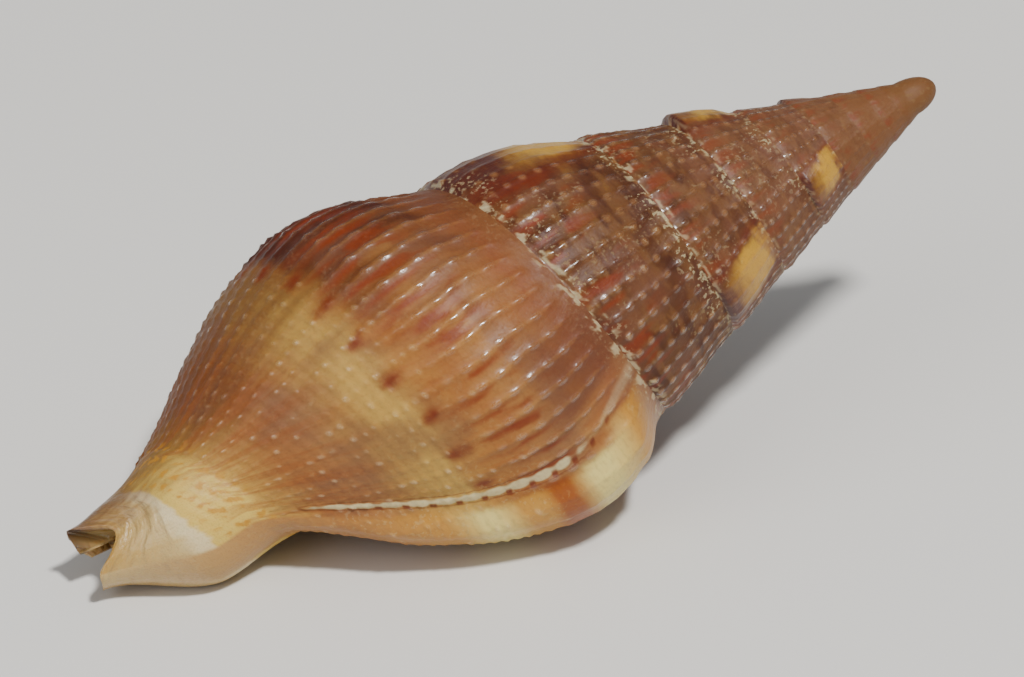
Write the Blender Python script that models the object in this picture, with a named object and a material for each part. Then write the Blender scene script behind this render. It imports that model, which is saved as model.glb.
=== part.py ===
"""A dwarf triton shell, 50 mm long: one closed solid in a collection named for it.

The shell is a right-handed spiral. A point on it has a turn, which is how many times the whorls have
gone round the axis, and a place along the whorl's section. The place is 0 at the suture above it, 1
at the neck of the canal and 2 at the canal's tip. The turn is 0 where the last whorl's suture starts
to drop away faster. Each whorl is the one before it, grown by one factor. The section of the last
whorl runs on over the base to the open canal.
"""

import math

import bmesh
import bpy
import numpy as np
from mathutils import Matrix

MM = 0.001

# The spiral
SHELL_LENGTH = 50.4 * MM
GROWTH_PER_WHORL = 1.30
SUTURE_FROM_CONE_POINT = 21.7 * MM
BLUNT_TIP = 1.1 * MM
SUTURE_SLOPE = 0.335
LAST_SUTURE_DROP = 5.6 * MM
LAST_SUTURE_POWER = 1.1
LAST_SUTURE_PULL_IN = 0.15
LIP_TURN = 0.73
APEX_TURN = -8.27
SEGMENTS_PER_WHORL = 84
FIRST_CURL = 20
DOME_DEPTH_SHARE = 0.25
DOME_WIDTH_SHARE = 0.65

# The section of the last whorl, as places along it and how far each stands out from its suture
PERIPHERY = 0.36
PERIPHERY_BELOW_SUTURE = 6.7 * MM
NECK_FROM_TIP = 39.7 * MM
NECK_ADVANCE_PER_WHORL = 10.2 * MM
SECTION_PLACES = (0.0, 0.07, 0.15, 0.23, 0.36, 0.48, 0.61, 0.69, 0.77, 0.86, 0.94, 1.0)
SECTION_RISES_MM = (0.0, 0.5, 1.2, 1.75, 1.95, 1.45, 0.5, -0.4, -1.4, -2.55, -3.4, -3.95)
SECTION_TURN = 0.47
SEAT_FADES_BY = 1.7
NARROWS_FROM = 0.8

# The canal, whose wall rolls from a thin inner edge, over the shield beside it, to the outer lip
CANAL_NECK_RADIUS = 3.65 * MM
CANAL_TIP_RADIUS = 1.8 * MM
CANAL_FLOOR_RADIUS = 0.4 * MM
CANAL_TAPER_START = 44.5 * MM
CANAL_FLOOR_START = 38.0 * MM
CANAL_FLOOR_END = 47.0 * MM
CANAL_BEND = 0.5 * MM
CANAL_BEND_START = 43.0 * MM
SHIELD_EDGE_TURN = -0.02
SHIELD_TURN = 0.05
SHIELD_START = 41.0 * MM
SHIELD_HALF_WIDTH = 0.25
SHIELD_HEIGHT = 0.35 * MM
SHIELD_LOST_AT_TIP = 0.5

# Rows of points from the neck over the canal, and over the base before it
SPIRE_ROWS = 4
BASE_PLACES = (0.65, 0.72, 0.79, 0.86, 0.93, 1.0, 1.25, 1.5, 1.7, 1.85, 2.0)

# Ribs along each whorl's section, and the thick varices where growth once paused
RIB_HEIGHT = 0.30 * MM
RIB_FULL_FROM = 0.08
RIB_FADE = (0.5, 1.0)
VARICES = (
    (0.75, 1.60 * MM),
    (0.12, 1.75 * MM),
    (-0.45, 0.30 * MM),
    (-1.15, 1.10 * MM),
    (-1.85, 0.45 * MM),
    (-2.42, 1.00 * MM),
    (-3.10, 1.00 * MM),
    (-3.80, 1.00 * MM),
    (-4.40, 0.90 * MM),
    (-5.10, 0.90 * MM),
)
VARIX_BACK = 0.16
VARIX_CREST = 0.07
VARIX_STEP = 0.05
VARIX_BOW = 0.045
VARIX_MIDDLE = 0.5
VARIX_FULL_FROM = 0.12
VARIX_FADE = (0.75, 1.1)

# The aperture's hollow, as stations back from the lip, and the groove where it opens at the tip
CAVITY_WHORLS = 3.6
CAVITY_STATIONS = 46
CAVITY_SPREAD = 1.35
CAVITY_CORNER_ROW = 1
GROOVE_STATIONS = 5
CAVITY_SHORTEST = 0.18
WALL = 1.0 * MM
LIP_WALL = 0.5 * MM
LIP_WALL_TURNS = 0.12
CANAL_WALL = 0.6 * MM
LEAST_GAP = 0.25 * MM
ROOF_RISES_OVER = (-0.05, 0.12)
ROOF_MEETS_FLOOR_FROM = 0.55

# How the shell lies: apex raised, aperture down, worn flat where it touches
REST_PITCH = math.radians(17.2)
REST_ROLL = math.radians(321.0)
WORN_FLAT = 0.3 * MM

SHELL_TAN = (0.62, 0.34, 0.20, 1.0)


def ease(start, end, value):
    """0 before start, 1 after end, and a smooth step between them."""
    t = np.clip((value - start) / (end - start), 0.0, 1.0)
    return t * t * (3.0 - 2.0 * t)


def grown(turn):
    """The size of a whorl beside the one where the section was measured."""
    return GROWTH_PER_WHORL ** (turn - SECTION_TURN)


def suture_depth(turn):
    """Distance of the suture from the apex along the axis. The last suture drops away faster."""
    late = np.clip(turn, 0.0, None)
    drop = LAST_SUTURE_DROP * late**LAST_SUTURE_POWER
    return SUTURE_FROM_CONE_POINT * GROWTH_PER_WHORL**turn + drop - BLUNT_TIP


def suture_radius(turn):
    late = np.clip(turn, 0.0, None)
    cone = SUTURE_SLOPE * SUTURE_FROM_CONE_POINT * GROWTH_PER_WHORL**turn
    return cone * (1.0 - LAST_SUTURE_PULL_IN * late**2)


def neck_depth(turn):
    """Where a whorl's base would narrow to the canal. Before the last whorl it grows with the spiral."""
    last = np.maximum(turn, LIP_TURN - 1.0)
    earlier = np.minimum(turn, LIP_TURN - 1.0) - (LIP_TURN - 1.0)
    depth = NECK_FROM_TIP + NECK_ADVANCE_PER_WHORL * last
    return (depth + BLUNT_TIP) * GROWTH_PER_WHORL**earlier - BLUNT_TIP


def section_depth(turn, place):
    """Distance from the apex along the axis of a place on a whorl's section."""
    upper = PERIPHERY_BELOW_SUTURE * grown(turn)
    periphery = suture_depth(turn) + upper
    base = np.clip((place - PERIPHERY) / (1.0 - PERIPHERY), 0.0, 1.0)
    canal = np.clip(place - 1.0, 0.0, 1.0)
    depth = suture_depth(turn) + upper * np.clip(place / PERIPHERY, 0.0, 1.0)
    depth = depth + (neck_depth(turn) - periphery) * base
    return depth + (SHELL_LENGTH - neck_depth(turn)) * canal


def place_at(turn, depth):
    """The place on a whorl's section at a distance from the apex."""
    upper = PERIPHERY_BELOW_SUTURE * grown(turn)
    below = depth - suture_depth(turn)
    base_length = neck_depth(turn) - suture_depth(turn) - upper
    canal_length = SHELL_LENGTH - neck_depth(turn)
    place = PERIPHERY * np.clip(below / upper, 0.0, 1.0)
    place = place + (1.0 - PERIPHERY) * np.clip((below - upper) / base_length, 0.0, 1.0)
    return place + np.clip((below - upper - base_length) / canal_length, 0.0, 1.0)


def lower_suture_place(turn):
    """Where on its section a whorl is met by the next one, kept as it is past the aperture."""
    met = np.minimum(turn, LIP_TURN - 1.0)
    return place_at(met, suture_depth(met + 1.0))


def base_radius(turn, place):
    rise = np.interp(place, SECTION_PLACES, SECTION_RISES_MM) * MM
    return suture_radius(turn) + grown(turn) * rise


def seat_of_next_whorl(turn, place):
    """A little added or taken off, so that the next whorl's suture lies on this one."""
    met = np.minimum(turn, LIP_TURN - 1.0)
    seat = lower_suture_place(met)
    missing = suture_radius(met + 1.0) - base_radius(met, seat)
    reach = place / seat
    shape = np.where(reach < 1.0, reach**2, 1.0 - ease(1.0, SEAT_FADES_BY, reach))
    return missing * shape * (1.0 - ease(LIP_TURN - 1.0, LIP_TURN - 0.75, turn))


def canal_radius(turn, depth):
    """The canal's outer radius: small where its wall starts inside, full past the shield's edge."""
    rolled = ease(LIP_TURN - 1.0, SHIELD_EDGE_TURN, turn)
    tapered = ease(CANAL_TAPER_START, SHELL_LENGTH, depth)
    full = CANAL_NECK_RADIUS + (CANAL_TIP_RADIUS - CANAL_NECK_RADIUS) * tapered
    across = np.clip((turn - SHIELD_TURN) / SHIELD_HALF_WIDTH, -1.0, 1.0)
    along = ease(SHIELD_START, CANAL_TAPER_START, depth) * (1.0 - SHIELD_LOST_AT_TIP * tapered)
    full = full + SHIELD_HEIGHT * (1.0 - across**2) ** 2 * along
    dug = ease(CANAL_FLOOR_START, CANAL_FLOOR_END, depth)
    floor = CANAL_NECK_RADIUS + (CANAL_FLOOR_RADIUS - CANAL_NECK_RADIUS) * dug
    return floor + (full - floor) * rolled


def varix_height(turn, place):
    """The rounded thickenings. Each rises slowly and drops steeply on the side that grew on."""
    bow = VARIX_BOW * (np.clip(place, 0.0, VARIX_FADE[1]) / VARIX_MIDDLE - 1.0) ** 2
    height = 0.0
    for lead, size in VARICES:
        past = turn - lead - bow
        crest = ease(-VARIX_BACK, -VARIX_CREST, past) * (1.0 - ease(-VARIX_STEP, 0.0, past))
        height = height + size * crest
    fade = ease(0.0, VARIX_FULL_FROM, place) * (1.0 - ease(*VARIX_FADE, place))
    return height * grown(turn) * fade


def rib_height(turn, place):
    """One rib to every two segments, strong on the upper half and gone at the base."""
    on_rib = np.round((turn - APEX_TURN) * SEGMENTS_PER_WHORL) % 2
    fade = ease(0.0, RIB_FULL_FROM, place) * (1.0 - ease(*RIB_FADE, place))
    return RIB_HEIGHT * grown(turn) * on_rib * fade


def plain_radius(turn, place):
    """The outer surface before ribs and varices."""
    to_canal = CANAL_NECK_RADIUS - base_radius(turn, 1.0)
    to_canal = to_canal * ease(LIP_TURN - 1.5, LIP_TURN - 1.0, turn)
    whorl = base_radius(turn, place) + seat_of_next_whorl(turn, place)
    whorl = whorl + to_canal * ease(NARROWS_FROM, 1.0, place)
    return np.where(place > 1.0, canal_radius(turn, section_depth(turn, place)), whorl)


def outer_radius(turn, place):
    return plain_radius(turn, place) + varix_height(turn, place) + rib_height(turn, place)


def at(turn, depth, radius):
    """A point of the shell lying level, its apex at the start, its canal at -X, its aperture down."""
    angle = 2.0 * math.pi * turn - REST_ROLL
    along_canal = max(0.0, (depth - CANAL_BEND_START) / (SHELL_LENGTH - CANAL_BEND_START))
    up = CANAL_BEND * along_canal**2 - radius * math.cos(angle)
    return (-float(depth), -float(radius * math.sin(angle)), float(up))


def add_row(mesh, turn, places, radii):
    depths = section_depth(turn, places)
    return [mesh.verts.new(at(turn, d, r)) for d, r in zip(depths, radii)]


def add_strip(mesh, first, second):
    """Faces between two rows of the same length, which may share points."""
    for corners in zip(first, first[1:], second[1:], second):
        kept = list(dict.fromkeys(corners))
        if len(kept) > 2:
            mesh.faces.new(kept)


def add_outside(mesh):
    """The spire, wound so that each whorl's lower row is the next whorl's suture, and the last whorl.

    Returns the rows of the last whorl, from the one a whorl behind the lip to the lip itself.
    """
    count = round((LIP_TURN - APEX_TURN) * SEGMENTS_PER_WHORL)
    turns = [APEX_TURN + step / SEGMENTS_PER_WHORL for step in range(count + 1)]
    sutures = [mesh.verts.new(at(t, suture_depth(t), suture_radius(t))) for t in turns]
    shares = np.linspace(0.0, 1.0, SPIRE_ROWS + 1)
    rows = []
    last_whorl = []
    for step, turn in enumerate(turns):
        places = shares * lower_suture_place(turn)
        straight = suture_radius(turn) + shares * (suture_radius(turn + 1.0) - suture_radius(turn))
        radii = straight + (outer_radius(turn, places) - straight) * ease(0.0, FIRST_CURL, step)
        row = [sutures[step]] + add_row(mesh, turn, places[1:-1], radii[1:-1])
        behind_lip = count - SEGMENTS_PER_WHORL
        if step <= behind_lip:
            row.append(sutures[step + SEGMENTS_PER_WHORL])
        if step >= behind_lip:
            below = np.array(BASE_PLACES)
            if step > behind_lip:
                below = np.concatenate([places[-1:], below])
            row += add_row(mesh, turn, below, outer_radius(turn, below))
            last_whorl.append(row)
        rows.append(row)
    for first, second in zip(rows, rows[1:]):
        add_strip(mesh, first, second)
    add_apex(mesh, rows, sutures)
    return last_whorl


def add_apex(mesh, rows, sutures):
    """The blunt tip: a fan over the first whorl's upper edge and the step where the spiral starts."""
    tip = mesh.verts.new((0.0, 0.0, 0.0))
    rim = sutures[: SEGMENTS_PER_WHORL + 1] + rows[0][-2:0:-1]
    dome = []
    for vertex in rim:
        along, across, up = vertex.co
        place = (along * DOME_DEPTH_SHARE, across * DOME_WIDTH_SHARE, up * DOME_WIDTH_SHARE)
        dome.append(mesh.verts.new(place))
    add_strip(mesh, rim + rim[:1], dome + dome[:1])
    for first, second in zip(dome, dome[1:] + dome[:1]):
        mesh.faces.new((tip, second, first))


def add_cavity(mesh, last_whorl):
    """The hollow behind the aperture: its floor is the whorl before, its roof the outer wall."""
    start = CAVITY_CORNER_ROW
    floor_places = np.array(BASE_PLACES[start:])
    lip_floor = last_whorl[0][SPIRE_ROWS + 1 + start :]
    floors = []
    roofs = []
    for station in range(CAVITY_STATIONS + 1):
        back = CAVITY_STATIONS - station
        turn = LIP_TURN - CAVITY_WHORLS * (back / CAVITY_STATIONS) ** CAVITY_SPREAD
        reach = 1.0 - (1.0 - CAVITY_SHORTEST) * ease(GROOVE_STATIONS, 3.0 * GROOVE_STATIONS, back)
        places = floor_places[0] + (floor_places - floor_places[0]) * reach
        depths = section_depth(turn - 1.0, places)
        radii = plain_radius(turn - 1.0, places)
        floor = lip_floor if back == 0 else add_row(mesh, turn - 1.0, places, radii)
        wall = WALL * grown(turn) + (LIP_WALL - WALL) * ease(LIP_TURN - LIP_WALL_TURNS, LIP_TURN, turn)
        thin = ease(CANAL_FLOOR_START, CANAL_TAPER_START, depths)
        wall = wall + (CANAL_WALL - wall) * thin
        over = plain_radius(turn, place_at(turn, depths))
        gap = np.maximum(over - wall - radii, LEAST_GAP * grown(turn))
        open_end = 1.0 - ease(0.0, GROOVE_STATIONS, back)
        share = np.linspace(0.0, 1.0, len(places))
        closing = (1.0 - open_end) * ease(ROOF_MEETS_FLOOR_FROM, 1.0, share)
        gap = gap * (1.0 - closing) * ease(*ROOF_RISES_OVER, share)
        roof = add_row(mesh, turn, place_at(turn, depths)[1:], (radii + gap)[1:])
        roof = [floor[0]] + roof
        if back >= GROOVE_STATIONS:
            mesh.verts.remove(roof[-1])
            roof[-1] = floor[-1]
        floors.append(floor)
        roofs.append(roof)
    for rows in (floors, [roof[::-1] for roof in roofs]):
        for first, second in zip(rows, rows[1:]):
            add_strip(mesh, first, second)
    mesh.faces.new(floors[0] + roofs[0][-2:0:-1])
    return floors, roofs


def add_lip(mesh, last_whorl, floors, roofs):
    """The edge of the outer lip, in one plane with the axis, and the end of the canal."""
    lip = last_whorl[-1]
    behind = last_whorl[0][SPIRE_ROWS : SPIRE_ROWS + 2 + CAVITY_CORNER_ROW]
    mesh.faces.new(lip + roofs[-1][:0:-1] + behind[:0:-1])
    groove_start = len(floors) - 1 - GROOVE_STATIONS
    outside = [row[-1] for row in last_whorl]
    roof_edge = [row[-1] for row in roofs[groove_start:]]
    floor_edge = [row[-1] for row in floors[groove_start:]]
    mesh.faces.new(outside + roof_edge[::-1] + floor_edge[1:-1])


def lay_down(mesh):
    """Turns the apex up, moves the shell over the origin and wears its lowest points flat."""
    bmesh.ops.rotate(mesh, verts=mesh.verts, matrix=Matrix.Rotation(-REST_PITCH, 3, "Y"))
    points = np.array([vertex.co for vertex in mesh.verts])
    low, high = points.min(axis=0), points.max(axis=0)
    middle = (low + high) / 2.0
    bmesh.ops.translate(mesh, verts=mesh.verts, vec=(-middle[0], -middle[1], -low[2] - WORN_FLAT))
    everything = mesh.verts[:] + mesh.edges[:] + mesh.faces[:]
    cut = bmesh.ops.bisect_plane(
        mesh, geom=everything, dist=1e-7, plane_co=(0, 0, 0), plane_no=(0, 0, 1), clear_inner=True
    )
    edges = [item for item in cut["geom_cut"] if isinstance(item, bmesh.types.BMEdge)]
    bmesh.ops.holes_fill(mesh, edges=edges)


def make_material():
    material = bpy.data.materials.new("Shell, glossy tan")
    material.use_nodes = True
    shader = material.node_tree.nodes["Principled BSDF"]
    shader.inputs["Base Color"].default_value = SHELL_TAN
    shader.inputs["Roughness"].default_value = 0.35
    shader.inputs["Metallic"].default_value = 0.0
    return material


def make_shell(collection):
    mesh = bmesh.new()
    last_whorl = add_outside(mesh)
    floors, roofs = add_cavity(mesh, last_whorl)
    add_lip(mesh, last_whorl, floors, roofs)
    lay_down(mesh)
    bmesh.ops.triangulate(mesh, faces=mesh.faces)
    bmesh.ops.recalc_face_normals(mesh, faces=mesh.faces)
    if mesh.calc_volume(signed=True) < 0.0:
        bmesh.ops.reverse_faces(mesh, faces=mesh.faces)
    data = bpy.data.meshes.new("shell")
    mesh.to_mesh(data)
    mesh.free()
    shell = bpy.data.objects.new("shell", data)
    shell.data.materials.append(make_material())
    collection.objects.link(shell)
    return shell


def main():
    for thing in list(bpy.data.objects):
        bpy.data.objects.remove(thing, do_unlink=True)
    collection = bpy.data.collections.new("Dwarf triton shell")
    bpy.context.scene.collection.children.link(collection)
    make_shell(collection)


main()
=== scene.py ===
import math
import bmesh
import bpy
import numpy as np
from mathutils import Matrix, Vector


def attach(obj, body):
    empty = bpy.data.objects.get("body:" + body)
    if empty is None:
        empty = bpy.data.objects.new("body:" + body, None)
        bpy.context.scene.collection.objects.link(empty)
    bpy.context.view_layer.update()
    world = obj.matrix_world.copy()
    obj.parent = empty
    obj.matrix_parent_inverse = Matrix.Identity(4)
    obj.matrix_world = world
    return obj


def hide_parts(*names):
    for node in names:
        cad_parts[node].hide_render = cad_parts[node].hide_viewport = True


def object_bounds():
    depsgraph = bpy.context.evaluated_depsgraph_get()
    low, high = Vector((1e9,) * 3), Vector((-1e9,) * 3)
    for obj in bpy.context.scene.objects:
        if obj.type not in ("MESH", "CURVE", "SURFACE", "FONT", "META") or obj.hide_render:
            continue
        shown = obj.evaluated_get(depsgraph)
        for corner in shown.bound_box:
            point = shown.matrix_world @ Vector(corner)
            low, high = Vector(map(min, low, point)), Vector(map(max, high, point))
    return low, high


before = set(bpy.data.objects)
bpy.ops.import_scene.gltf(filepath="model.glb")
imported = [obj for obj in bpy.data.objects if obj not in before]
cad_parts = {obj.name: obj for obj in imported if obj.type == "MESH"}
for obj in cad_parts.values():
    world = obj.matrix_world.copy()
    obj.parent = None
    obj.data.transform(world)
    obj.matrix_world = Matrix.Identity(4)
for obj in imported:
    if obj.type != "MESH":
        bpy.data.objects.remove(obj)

first_low, first_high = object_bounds()

# The shell's growth.
# A sea snail lays its shell down at the lip, whorl after whorl, each one the last one grown by a
# factor. A point of the shell has a turn, counted in whorls, and a share of the way down its whorl.
MM = 0.001
SHELL_LENGTH = 50.4
GROWTH_PER_WHORL = 1.30
SUTURE_FROM_CONE_POINT = 21.7
BLUNT_TIP = 1.1
SUTURE_SLOPE = 0.335
LAST_SUTURE_DROP = 5.6
LAST_SUTURE_POWER = 1.1
LAST_SUTURE_PULL_IN = 0.15
APEX_TURN = -8.27
LIP_TURN = 0.73
LAST_WHORL_TURN = LIP_TURN - 1.0
SEGMENTS_PER_WHORL = 440

OUTSIDE, FLOOR, ROOF, RIM, CANAL_END, TIP = range(6)
ROWS_OF_WHORLS_BACK = (44, 21, 16, 12, 9, 7, 6, 5, 4)
ROWS_CLOSER_AT_SUTURES = 0.6
BASE_ROWS = 80
BASE_ROWS_DENSER_AT_START = 0.3
CAVITY_WHORLS = 2.2
CAVITY_STATIONS_PER_WHORL = 40
GROOVE_STATIONS = 10
RIM_COLUMNS = 5
END_RINGS = 4
TIP_RINGS = 8
UPPER_PART_OF_LIP = 0.52
SAME_KEY = 1e-6
SAME_TURN = 1e-9


class Sheet:
    """Points of the growing shell and the faces between them. A tree of nodes gives them their place."""

    def __init__(self):
        self.points = []
        self.faces = []

    def add_point(self, side, turn, share, across=0.0):
        self.points.append((side, turn, share, across))
        return len(self.points) - 1

    def add_row(self, side, turn, shares, across=0.0):
        return [(float(share), self.add_point(side, turn, share, across)) for share in shares]

    def stitch(self, first, second):
        """Faces between two rows of (key, point), which may differ in number."""
        i, j = 0, 0
        while i + 1 < len(first) or j + 1 < len(second):
            first_key = first[i + 1][0] if i + 1 < len(first) else math.inf
            second_key = second[j + 1][0] if j + 1 < len(second) else math.inf
            corners = [first[i][1]]
            if first_key < second_key + SAME_KEY:
                i += 1
                corners.append(first[i][1])
            if second_key < first_key + SAME_KEY:
                corners.append(second[j + 1][1])
                corners.append(second[j][1])
                j += 1
            else:
                corners.append(second[j][1])
            kept = list(dict.fromkeys(corners))
            if len(kept) > 2:
                self.faces.append(kept)


def rows_at(turn):
    """Rows from suture to suture, fewer on the smaller whorls."""
    back = math.ceil(LAST_WHORL_TURN - turn - SAME_TURN)
    return ROWS_OF_WHORLS_BACK[max(back, 0)]


def whorl_shares(count):
    """Shares 0 to 1 from suture to suture, closer together at both."""
    even = np.linspace(0.0, 1.0, count + 1)
    return even - ROWS_CLOSER_AT_SUTURES * np.sin(2.0 * math.pi * even) / (2.0 * math.pi)


def base_shares():
    """Shares 1 to 2 down the base and canal, closer together at the start."""
    even = np.linspace(0.0, 1.0, BASE_ROWS + 1)
    return 1.0 + even * (1.0 - BASE_ROWS_DENSER_AT_START) + even**2 * BASE_ROWS_DENSER_AT_START


def upper_part(row):
    """The points of a row that lie between the sutures."""
    return [(share, point) for share, point in row if share <= 1.0]


def keyed_by_depth(row):
    """The lip's row with keys that match the share of its depth, which the cavity's rows have."""
    upper = UPPER_PART_OF_LIP
    return [(k * upper if k <= 1.0 else upper + (k - 1.0) * (1.0 - upper), p) for k, p in row]


def add_outside(sheet):
    """Every whorl from suture to suture, and below the last one the base and canal."""
    count = round((LIP_TURN - APEX_TURN) * SEGMENTS_PER_WHORL)
    behind_lip = count - SEGMENTS_PER_WHORL
    columns = []
    for step in range(count + 1):
        turn = APEX_TURN + step / SEGMENTS_PER_WHORL
        shares = list(whorl_shares(rows_at(turn)))
        if step >= behind_lip:
            shares += list(base_shares()[1:])
        columns.append(sheet.add_row(OUTSIDE, turn, shares))
    for step, (first, second) in enumerate(zip(columns, columns[1:])):
        if step >= behind_lip:
            sheet.stitch(first, second)
        else:
            sheet.stitch(upper_part(first), upper_part(second))
    return columns


def add_cavity(sheet):
    """The hollow's floor, which is the whorl before, and its roof under the outer wall."""
    sides = []
    stations = round(CAVITY_WHORLS * CAVITY_STATIONS_PER_WHORL)
    for side in (FLOOR, ROOF):
        columns = []
        for back in range(stations + 1):
            shares = base_shares() if back == 0 and side == FLOOR else base_shares()[::2]
            columns.append(sheet.add_row(side, LIP_TURN - back / CAVITY_STATIONS_PER_WHORL, shares))
        for first, second in zip(columns, columns[1:]):
            sheet.stitch(first, second)
        sides.append(columns)
    return sides


def add_rim(sheet, lip, roof):
    """The rounded edge of the lip, from its outer face to the roof of the hollow."""
    columns = [lip]
    for column in range(1, RIM_COLUMNS):
        row = sheet.add_row(RIM, LIP_TURN, [share for share, _ in lip], column / RIM_COLUMNS)
        columns.append(row)
    for first, second in zip(columns, columns[1:]):
        sheet.stitch(first, second)
    sheet.stitch(keyed_by_depth(columns[-1]), [(share - 1.0, point) for share, point in roof])
    return [row[-1][1] for row in columns]


def add_canal_end(sheet, outside, floor, roof, rim_end):
    """The open tip of the canal: its wall's edge and the dished end inside it."""
    ring = [(step, column[-1][1]) for step, column in enumerate(outside)]
    first, last = ring[0], ring[-1]
    for number in range(1, END_RINGS + 1):
        inner = [first]
        for step in range(1, len(ring) - 1):
            turn = LAST_WHORL_TURN + step / SEGMENTS_PER_WHORL
            inner.append((step, sheet.add_point(CANAL_END, turn, 2.0, number / END_RINGS)))
        inner.append(last)
        sheet.stitch(ring, inner)
        ring = inner
    loop = [point for _, point in ring] + rim_end[1:]
    loop += [column[-1][1] for column in roof[: GROOVE_STATIONS + 1]]
    loop += [column[-1][1] for column in reversed(floor[1:GROOVE_STATIONS])]
    sheet.faces.append(loop)


def add_tip(sheet, columns):
    """The blunt first whorl, closed over by a small dome."""
    sutures = [column[0] for column in columns[: SEGMENTS_PER_WHORL + 1]]
    step_down = columns[0][-2:0:-1]
    edge = [point for _, point in sutures + step_down]
    ring = list(enumerate(edge + edge[:1]))
    for number in range(1, TIP_RINGS):
        inner = []
        for point in edge:
            _, turn, share, _ = sheet.points[point]
            inner.append(sheet.add_point(TIP, turn, share, number / TIP_RINGS))
        inner = list(enumerate(inner + inner[:1]))
        sheet.stitch(ring, inner)
        ring = inner
    centre = sheet.add_point(TIP, APEX_TURN, 0.0, 1.0)
    for (_, first), (_, second) in zip(ring, ring[1:]):
        sheet.faces.append([first, second, centre])


sheet = Sheet()
outside = add_outside(sheet)
cavity_floor, cavity_roof = add_cavity(sheet)
rim_end = add_rim(sheet, outside[-1], cavity_roof[0])
add_canal_end(sheet, outside[-1 - SEGMENTS_PER_WHORL :], cavity_floor, cavity_roof, rim_end)
add_tip(sheet, outside)

growth = bpy.data.meshes.new("growth")
growth.from_pydata([(turn, share, across) for _, turn, share, across in sheet.points], [], sheet.faces)
for index, name in enumerate(("side", "turn", "share", "across")):
    values = growth.attributes.new(name, "FLOAT", "POINT")
    values.data.foreach_set("value", np.array([point[index] for point in sheet.points], np.float32))
shell = bpy.data.objects.new("shell_body", growth)
bpy.context.scene.collection.objects.link(shell)


# Arithmetic on fields, which the growth tree and the materials share.
def add_node(tree, kind, values=(), **settings):
    """Adds a node with its settings. A value is a number, a colour, a socket or a Field to link."""
    node = tree.nodes.new(kind)
    for name, setting in settings.items():
        setattr(node, name, setting)
    for key, value in values.items() if isinstance(values, dict) else enumerate(values):
        value = value.socket if isinstance(value, Field) else value
        if isinstance(value, bpy.types.NodeSocket):
            tree.links.new(value, node.inputs[key])
        else:
            node.inputs[key].default_value = value
    return node


class Field:
    """A number that varies over the shell. Arithmetic on it adds Math nodes to its tree."""

    def __init__(self, socket):
        self.socket = socket

    def math(self, operation, *values):
        node = add_node(self.socket.id_data, "ShaderNodeMath", values, operation=operation)
        return Field(node.outputs[0])

    def __add__(self, other):
        return self.math("ADD", self, other)

    def __sub__(self, other):
        return self.math("SUBTRACT", self, other)

    def __rsub__(self, other):
        return self.math("SUBTRACT", other, self)

    def __mul__(self, other):
        return self.math("MULTIPLY", self, other)

    def __truediv__(self, other):
        return self.math("DIVIDE", self, other)

    def __pow__(self, other):
        return self.math("POWER", self, other)

    def __rpow__(self, other):
        return self.math("POWER", other, self)

    def at_least(self, other):
        return self.math("MAXIMUM", self, other)

    def at_most(self, other):
        return self.math("MINIMUM", self, other)

    def over(self, other):
        """1 where this is the larger, 0 elsewhere."""
        return self.math("GREATER_THAN", self, other)

    def wave(self):
        """1 at whole numbers and 0 halfway between them."""
        return self.math("COSINE", self * (2.0 * math.pi)) * 0.5 + 0.5

    __radd__ = __add__
    __rmul__ = __mul__


def ease(start, end, value):
    """0 before start, 1 after end, and a smooth step between them."""
    values = {"Value": value, "From Min": start, "From Max": end}
    tree = value.socket.id_data
    node = add_node(tree, "ShaderNodeMapRange", values, interpolation_type="SMOOTHSTEP")
    return Field(node.outputs[0])


def fade(start, end, value):
    """1 before start, 0 after end, and a smooth step between them."""
    return 1.0 - ease(start, end, value)


def region(bounds, value):
    """0 outside the first and last bound, 1 between the middle two, with smooth edges."""
    start, full, still_full, end = bounds
    return ease(start, full, value) * fade(still_full, end, value)


def hump(middle, half_width, value):
    """1 at the middle, 0 at half a width to either side of it and beyond."""
    return fade(0.0, half_width, (value - middle).math("ABSOLUTE", value - middle))


def blend(first, second, share):
    """The first value where the share is 0, the second where it is 1."""
    return first * (1.0 - share) + second * share


def noise(across, along, scale, detail=2.0):
    """Smooth random values, 0.5 on average."""
    tree = across.socket.id_data
    place = add_node(tree, "ShaderNodeCombineXYZ", [across, along, 0.0])
    values = {"Vector": place.outputs[0], "Scale": scale, "Detail": detail}
    return Field(add_node(tree, "ShaderNodeTexNoise", values, noise_dimensions="2D").outputs[0])


# The form of the whorls.
# The tree below places each point of the sheet: the spiral with its rounded whorls, the base drawn
# out into the canal, the varices left by earlier lips, the ribs and cords, and the hollow inside.

# A whorl's section, in millimetres. Its places run from 0 at the suture to 1 at the canal's neck.
PERIPHERY = 0.36
PERIPHERY_BELOW_SUTURE = 6.7
NECK_FROM_TIP = 39.7
NECK_ADVANCE_PER_WHORL = 10.2
SECTION_PLACES = (0.0, 0.07, 0.15, 0.23, 0.36, 0.48, 0.61, 0.69, 0.77, 0.86, 0.94, 1.0)
SECTION_RISES = (0.0, 0.5, 1.2, 1.75, 1.95, 1.45, 0.5, -0.4, -1.4, -2.55, -3.4, -3.95)
RISE_LOW, RISE_HIGH = -5.0, 3.0
SECTION_TURN = 0.47
SEAT_FADES_BY = 1.7
SEAT_FADES_TURNS = 0.25
NARROWS_FROM = 0.8

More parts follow.
